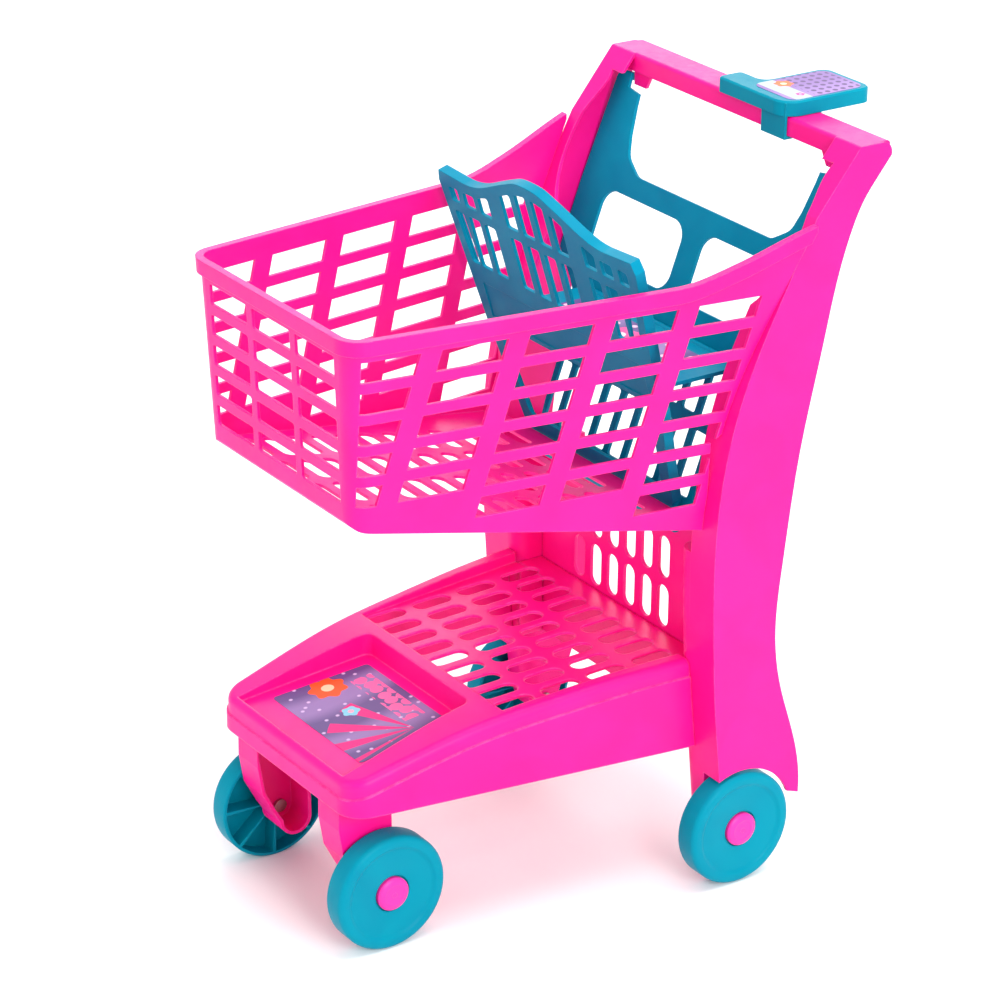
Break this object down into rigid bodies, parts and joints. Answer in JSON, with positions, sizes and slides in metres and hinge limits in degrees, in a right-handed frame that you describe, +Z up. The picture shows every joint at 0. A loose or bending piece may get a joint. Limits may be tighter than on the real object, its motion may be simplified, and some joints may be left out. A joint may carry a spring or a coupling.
{
  "type": "toy shopping cart",
  "caption": "Child's toy shopping cart: slotted basket on a low wheeled base, two uprights with a bar handle, fold-down doll seat and a clip-on toy phone.",
  "frame": {"origin": "on the floor under the middle of the cart's overall box", "axes": "+Z up, -Y towards the basket's front, +Y towards the person pushing, +X to the right of someone who faces the cart's front from behind the camera side (cart's own left when pushed)"},
  "size_m": [0.3056, 0.4629, 0.5617],
  "materials": {
    "pink_frame": "moulded polypropylene, pink",
    "pink_basket": "moulded polypropylene, pink",
    "pink_base": "moulded polypropylene, pink",
    "pink_cap": "moulded polypropylene, pink",
    "teal_wheel": "moulded polypropylene, teal",
    "teal_gate": "moulded polypropylene, teal",
    "teal_seat": "moulded polypropylene, teal",
    "teal_phone": "moulded polypropylene, teal",
    "label_print": "printed vinyl label",
    "steel": "plain steel rod",
    "clip_steel": "zinc plated steel"
  },
  "bodies": {
    "cart": {"push_frame": "pink_frame", "basket": "pink_basket", "base_deck": "pink_base", "rear_grille": "pink_base", "front_leg_left": "pink_base", "front_leg_right": "pink_base", "axle_pins": "steel", "axle_clips": "clip_steel", "seat_gate": "teal_gate", "tray_label": "label_print", "frame_screws": "clip_steel"},
    "wheel_front_right": {"wheel_front_right": "teal_wheel", "hub_cap_front_right": "pink_cap"},
    "wheel_front_left": {"wheel_front_left": "teal_wheel", "hub_cap_front_left": "pink_cap"},
    "wheel_rear_right": {"wheel_rear_right": "teal_wheel", "hub_cap_rear_right": "pink_cap"},
    "wheel_rear_left": {"wheel_rear_left": "teal_wheel", "hub_cap_rear_left": "pink_cap"},
    "seat_back": {"seat_back": "teal_seat"},
    "seat_pan": {"seat_pan": "teal_seat", "seat_label": "label_print"},
    "phone": {"phone_tray": "teal_phone", "phone_label": "label_print"}
  },
  "joints": [
    {"name": "wheel_front_right_spin", "type": "hinge", "parent": "cart", "child": "wheel_front_right", "pos_m": [0.08, -0.184, 0.044], "axis": [1, 0, 0], "continuous": true},
    {"name": "wheel_front_left_spin", "type": "hinge", "parent": "cart", "child": "wheel_front_left", "pos_m": [-0.08, -0.184, 0.044], "axis": [1, 0, 0], "continuous": true},
    {"name": "wheel_rear_right_spin", "type": "hinge", "parent": "cart", "child": "wheel_rear_right", "pos_m": [0.139, 0.079, 0.044], "axis": [1, 0, 0], "continuous": true},
    {"name": "wheel_rear_left_spin", "type": "hinge", "parent": "cart", "child": "wheel_rear_left", "pos_m": [-0.139, 0.079, 0.044], "axis": [1, 0, 0], "continuous": true},
    {"name": "seat_back_fold", "type": "hinge", "parent": "cart", "child": "seat_back", "pos_m": [0, 0.057, 0.27], "axis": [-1, 0, 0], "range_deg": [0, 36]},
    {"name": "seat_pan_fold", "type": "hinge", "parent": "cart", "child": "seat_pan", "pos_m": [0, 0.10344, 0.38284], "axis": [-1, 0, 0], "range_deg": [0, 108]},
    {"name": "phone_slide", "type": "slide", "parent": "cart", "child": "phone", "axis": [1, 0, 0], "range_m": [-0.1, 0.03]}
  ],
  "couplings": [
    {"joint": "seat_pan_fold", "follows": "seat_back_fold", "ratio": 3}
  ]
}
